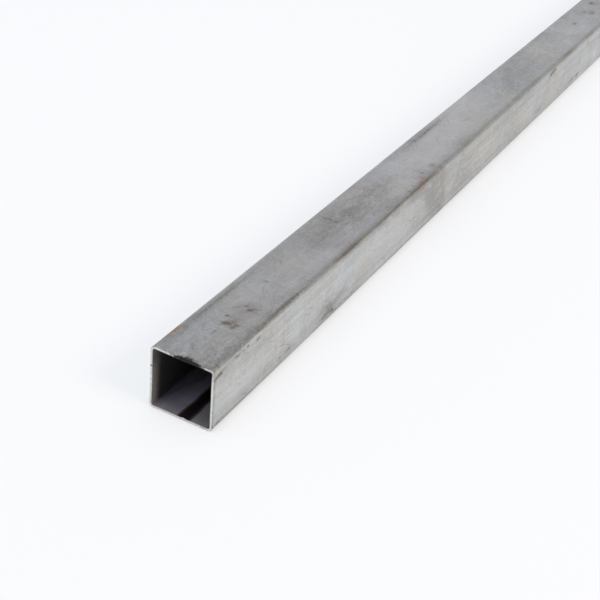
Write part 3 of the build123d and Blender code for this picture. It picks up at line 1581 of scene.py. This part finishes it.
        # Painted shade: the underside's broken edge at the near end, darkened where it meets the floor.
        edge = patches(Face.UNDER, ((0, 20, 1.5, 60, 1.0),))
        whiskers = patches(Face.TOP, (
            (1.2, 20.4, 1.8, 5, 0.95, -20), (3.0, 20.6, 1.6, 3, 0.70), (1.8, 24.6, 2.6, 5, 0.85),
            (0.6, 17.6, 1.6, 3, 0.75), (3.4, 27.5, 3, 3, 0.50), (4.6, 22, 4, 3, 0.46),
            (1.0, 28.5, 2, 4, 0.60), (0.6, 33, 1.5, 6, 0.50), (12.2, 20.6, 3, 2.4, 0.42),
            (0.4, 9, 1.0, 12, 0.42),
        ))
        return cut + edge + whiskers

    def tar(self) -> list[Stain]:
        """Black grease caught on the cut above the mouth, and drawn out over the top in short whiskers.

        Returns:
            The stains.
        """
        caught = ((0, 23, 4, 20, 1.1),)
        cut = patches(Face.TOP, caught, Skin.SAWN) + patches(Face.TOP, caught, Skin.BORE)
        return cut + patches(Face.TOP, (
            (0, 23.4, 1.4, 19, 1.1), (0.8, 17.8, 3.8, 3.4, 0.42), (1.0, 21.2, 5.6, 3.8, 0.44),
            (1.2, 25, 4.4, 3.8, 0.36), (0.8, 28.4, 3.2, 3, 0.32), (2.6, 21.5, 9, 9, 0.22),
        ))

    def rust(self) -> list[Stain]:
        """Rust: a spot on the top's left edge near the end, and stretches along the right bend.

        Returns:
            The stains.
        """
        top = patches(Face.TOP, (
            (17.5, 1.2, 12, 5, 1.2), (22, 2.4, 7, 4, 0.8), (32, 4, 10, 3, 0.35), (44.5, 24.0, 12, 8, 0.48),
            (57, 25.4, 14, 9, 0.26), (70, 38.8, 22, 3, 0.34), (100, 39.3, 30, 2, 0.15),
            (140, 39, 8, 3, 0.3), (155, 39.0, 20, 3, 0.22), (150, 37, 34, 10, 0.12),
            (13.4, 25.4, 4, 3, 0.2), (190, 40.0, 90, 3.5, 0.22), (230, 40.0, 50, 3.5, 0.22),
            (262, 37.8, 16, 2.8, 0.60, -12), (269, 35.4, 13, 3.0, 0.66, -24), (262, 42, 20, 5, 0.28),
            (285, 40.5, 20, 3, 0.25), (168, 18, 170, 50, 0.26), (370, 20, 110, 50, 0.23),
            (285, 18, 50, 40, 0.05),
        ))
        right = patches(Face.RIGHT, (
            (264, 4, 20, 6, 0.26), (286, 20, 70, 10, 0.24, 62), (294, 20, 70, 9, 0.26, 66),
            (302, 20, 70, 8, 0.25, 71), (284, 12, 14, 8, 0.10, 70),
        ))
        rim = patches(Face.UNDER, ((0, 34, 4, 1.4, 0.6), (0, 7, 4, 1.6, 0.6)), Skin.SAWN)
        return top + right + rim

    def rubbed_and_sheen(self) -> list[Stain]:
        """Cleaner, brighter metal: pale patches on the top and the right, and a painted highlight line past
        the top bend.

        Returns:
            The stains.
        """
        top = patches(Face.TOP, (
            (75, 17, 40, 18, 0.42), (112, 16, 50, 12, 0.34), (118, 26, 40, 14, 0.25),
            (278, 16, 56, 26, 0.82), (335, 20, 60, 28, 0.64), (345, 29, 30, 6, 0.3), (360, 23, 24, 8, 0.35),
            (372, 19, 8, 10, 0.6), (395, 8, 70, 20, 0.75), (390, 24, 70, 24, 0.35), (300, 28, 60, 14, 0.30),
            (397, 3, 70, 7, 0.9), (374, 20, 5, 14, 0.6, 10), (340, 11, 60, 8, 0.40), (344, 22, 8, 8, 0.5),
            (366, 26, 3, 10, 0.4, 20), (354, 26, 4, 16, 0.40, 10), (361, 19, 3.6, 14, 0.45, 10),
            (379, 25, 4, 16, 0.50, 10),
        ))
        # The first six rows, just past the top bend, and the long one 2.2 mm across paint its highlight
        # line as well as rubbing it.
        right = patches(Face.RIGHT, (
            (8.5, 1.2, 7, 3, 0.70), (15.5, 1.2, 6, 3, 0.95), (23.5, 1.2, 6.5, 3, 0.95),
            (30.5, 1.3, 5.5, 3, 0.95), (37.5, 1.2, 6, 3, 0.80), (46, 1.2, 8, 3, 0.60),
            (12, 26, 36, 16, 0.34), (12, 10, 30, 10, 0.10), (42, 26, 44, 14, 0.35), (178, 14, 80, 14, 0.25),
            (90, 6, 60, 8, 0.20), (66, 2.2, 100, 3, 0.40), (310, 34.5, 220, 4, 0.32),
        ))
        return top + right

    def scatter(self, face: Face, start: float, widest: float, strength: float, seed: int,
                band: tuple[float, float] = (0.05, 0.95)) -> list[Stain]:
        """Chance marks on one side, many small and a few large.

        Sizes follow a log-uniform spread, and each mark is up to three times as long as it is wide.

        Args:
            face: the side.
            start: how far along the tube they begin.
            widest: the largest width.
            strength: the most that a mark holds.
            seed: the draw's seed.
            band: the shares of the side's width that their middles keep between.

        Returns:
            The stains.
        """
        rng = np.random.default_rng([self.seed, seed])
        count = round(self.scattered * (self.length - start) / self.length)
        along = rng.uniform(start, self.length, count)
        across = rng.uniform(*band, count) * self.side
        width = widest * 8.0 ** -rng.uniform(0, 1, count)
        length = width * rng.uniform(0.8, 3.0, count)
        force = strength * rng.uniform(0.4, 1.0, count)
        turn = rng.uniform(-60, 60, count)
        rows = np.stack([along, across, length, width, force, turn], axis=1).tolist()
        return [Stain(face, *row) for row in rows]

    def everything(self) -> dict[Stuff, tuple[Stain, ...]]:
        """All stains by kind, with chance marks where no others are placed.

        Returns:
            The stains of each kind.
        """
        grime = self.top_grime() + self.right_grime() + self.edge_grime() + self.rim_grime()
        haze, rust, rubbed_and_sheen, tar = self.haze(), self.rust(), self.rubbed_and_sheen(), self.tar()
        sides = {       # where chance marks start, and the shares of the width that grime keeps between
            Face.LEFT: (0.0, (0.05, 0.70)),
            Face.TOP: (self.top_from, (0.05, 0.95)),
            Face.RIGHT: (self.right_from, (0.05, 0.95)),
            Face.UNDER: (0.0, (0.30, 0.95)),
        }
        for face, (start, band) in sides.items():
            grime += self.scatter(face, start, widest=0.016, strength=0.85, seed=3 * face, band=band)
            rust += self.scatter(face, start, widest=0.006, strength=0.75, seed=3 * face + 1)[::3]
            rubbed_and_sheen += self.scatter(face, start, widest=0.024, strength=0.5, seed=3 * face + 2)[::2]
            haze += self.scatter(face, start, widest=0.060, strength=0.4, seed=12 + face)[::2]
        kinds = (grime, haze, rust, rubbed_and_sheen, tar)
        return {stuff: tuple(stains) for stuff, stains in zip(Stuff, kinds)}


def knocks(length: float, side: float, seed: int = 5, count: int = 26) -> tuple[Dent, ...]:
    """Small dents: two by the near end's right bend, one on the top, and others by chance at the bends.

    Args:
        length: the tube's length.
        side: its outside width.
        seed: the draw's seed.
        count: how many are left to chance.

    Returns:
        The dents.
    """
    rng = np.random.default_rng(seed)
    placed = (
        Dent(Face.RIGHT, 0.0, 0.004, 0.032, 0.00030),
        Dent(Face.RIGHT, 0.004, 0.0052, 0.0035, 0.00016),
        Dent(Face.TOP, 0.0455, 0.0225, 0.006, 0.00008),
    )
    along = rng.uniform(0.01, length - 0.01, count)
    edge = np.where(rng.random(count) < 0.5, 0.0035, side - 0.0035) + rng.normal(0, 0.0012, count)
    size, depth = rng.uniform(0.003, 0.006, count), rng.uniform(0.00004, 0.00014, count)
    faces = rng.integers(0, len(Face), count)
    rows = zip(faces.tolist(), along.tolist(), edge.tolist(), size.tolist(), depth.tolist())
    return placed + tuple(Dent(Face(face), *rest) for face, *rest in rows)


@dataclass(frozen=True)
class Lamp:
    """A square soft lamp, aimed at the tube near its end."""

    name: str
    place: Point
    size: float
    power: float
    colour: Colour = (1.0, 1.0, 1.0)
    aim: Point = (0.0, -0.3, 0.0)

    def build(self) -> None:
        """Hangs the lamp."""
        data = bpy.data.lights.new(self.name, "AREA")
        data.shape = "SQUARE"
        data.size = self.size
        data.energy = self.power
        data.color = self.colour
        lamp = bpy.data.objects.new(self.name, data)
        lamp.location = self.place
        lamp.rotation_euler = (Vector(self.aim) - Vector(self.place)).to_track_quat("-Z", "Y").to_euler()
        bpy.context.scene.collection.objects.link(lamp)


@dataclass(frozen=True)
class Studio:
    """A wide pale floor under a pale dome, a large lamp overhead and a smaller one to the right."""

    floor_reach: float = 14.0
    floor_white: Colour = (0.906, 0.924, 0.950)
    paper_white: Colour = (0.962, 0.980, 1.0)
    paper_share: float = 0.66            # how much of the floor's look is its own even paper white
    contact_shadow_reach: float = 0.006               # how near a thing must be for the painted contact shadow to darken that white
    contact_shadow_left: float = 0.4           # what is left of it where the floor is touched
    overhead: Lamp = Lamp("overhead_lamp", (-0.9, -0.8, 3.3), 2.6, 31.5)
    side: Lamp = Lamp("side_lamp", (2.80, -0.54, 2.31), 1.2, 57.5, (1.0, 0.84, 0.66))
    dome: tuple[tuple[float, Colour], ...] = (
        (0.50, (0.945, 0.955, 0.965)),
        (0.60, (0.845, 0.850, 0.875)),
        (0.68, (0.717, 0.723, 0.766)),
        (0.74, (0.572, 0.581, 0.628)),
        (1.00, (0.505, 0.522, 0.565)),
    )

    def floor(self) -> bpy.types.Object:
        """The floor: one square, centred under the tube.

        Returns:
            The floor.
        """
        reach = self.floor_reach
        corners = [(-reach, -reach, 0), (reach, -reach, 0), (reach, reach, 0), (-reach, reach, 0)]
        mesh = bpy.data.meshes.new("studio_floor")
        mesh.from_pydata(corners, [], [(0, 1, 2, 3)])
        mesh.materials.append(self.paper())
        floor = bpy.data.objects.new("studio_floor", mesh)
        bpy.context.scene.collection.objects.link(floor)
        return floor

    def paper(self) -> bpy.types.Material:
        """The floor's material: pale and matt, with some of its white shown evenly where it is seen and
        dimmed near the tube as a painted contact shadow.

        Returns:
            The material, which other surfaces are lit by as by plain pale paper.
        """
        material = bpy.data.materials.new("studio_paper")
        material.use_nodes = True
        board = Board(material.node_tree)
        rays = [board.node("ShaderNodeLightPath", output=name)
                for name in ("Is Camera Ray", "Is Glossy Ray", "Is Transmission Ray")]
        seen = rays[0].at_least(rays[1]).at_least(rays[2])
        matt = board.node("ShaderNodeBsdfDiffuse", None, {"Color": (*self.floor_white, 1.0)})
        even = board.node("ShaderNodeEmission", None, {"Color": (*self.paper_white, 1.0)})
        reach = {"Distance": self.contact_shadow_reach}
        # Painted contact shadow: ambient occlusion dims the even white near the tube.
        openness = board.node("ShaderNodeAmbientOcclusion", {"samples": 8}, reach, output="AO")
        left = openness * (1 - self.contact_shadow_left) + self.contact_shadow_left
        share = seen * left * self.paper_share
        both = board.node("ShaderNodeMixShader", None, {0: share, 1: matt, 2: even})
        board.node("ShaderNodeOutputMaterial", None, {"Surface": both})
        return material

    def world(self) -> None:
        """The dome: pale at the horizon and greyer overhead, by the height of the direction."""
        world = bpy.data.worlds.new("studio_dome")
        world.use_nodes = True
        board = Board(world.node_tree)
        _, _, up = board.parts(board.node("ShaderNodeTexCoord", output="Generated"))
        shade = board.node("ShaderNodeValToRGB", {"stops": list(self.dome)}, {0: up * 0.5 + 0.5})
        light = board.node("ShaderNodeBackground", None, {"Color": shade})
        board.node("ShaderNodeOutputWorld", None, {"Surface": light})
        bpy.context.scene.world = world

    def build(self) -> None:
        """Puts up the floor, the dome and both lamps."""
        self.floor()
        self.world()
        for lamp in (self.overhead, self.side):
            lamp.build()
        LOG.info("studio: floor %.0f m wide, dome and two lamps", 2 * self.floor_reach)


@dataclass(frozen=True)
class Viewpoint:
    """The camera: in front of the near end, to the right of it and above."""

    eye: Point = (0.26988, -0.92677, 0.40261)
    heading: float = 25.82      # degrees to the left of +Y
    dip: float = 32.52          # degrees below level
    roll: float = 5.95
    lens: float = 72.01
    sensor: float = 36.0

    def build(self) -> None:
        """Makes the camera and sets it as the scene's."""
        data = bpy.data.cameras.new("camera")
        data.lens = self.lens
        data.sensor_width = self.sensor
        data.clip_start = 0.01
        turns = ((self.heading, "Z"), (90 - self.dip, "X"), (self.roll, "Z"))
        heading, tilt, roll = (Matrix.Rotation(math.radians(angle), 4, axis) for angle, axis in turns)
        camera = bpy.data.objects.new("camera", data)
        camera.matrix_world = Matrix.Translation(self.eye) @ heading @ tilt @ roll
        bpy.context.scene.collection.objects.link(camera)
        bpy.context.scene.camera = camera


def main() -> None:
    """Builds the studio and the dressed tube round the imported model."""
    logging.basicConfig(level=logging.INFO, format="%(name)s: %(message)s")
    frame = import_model()
    LOG.info("frame: %s", ", ".join(sorted(frame["nodes"])))

    low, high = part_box(NODE)
    side, length = high.x - low.x, high.y - low.y
    section = Section(side)
    seam_around = Face.UNDER * side + section.seam_across
    stains = Wear(side, length).everything()
    stock = Stock(section, length, SawnEnd(), SawnEnd(seed=9), knocks(length, side), stains)
    finishes = (RolledSteel(side, seam_around), OxidisedBore(side, length, seam_around), SawnSteel())
    piece = TubePiece(stock).build([finish.material() for finish in finishes])
    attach(piece, "root")
    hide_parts(NODE)

    Studio().build()
    Viewpoint().build()
    bpy.context.scene.view_settings.view_transform = "Standard"


if __name__ == "__main__":
    main()
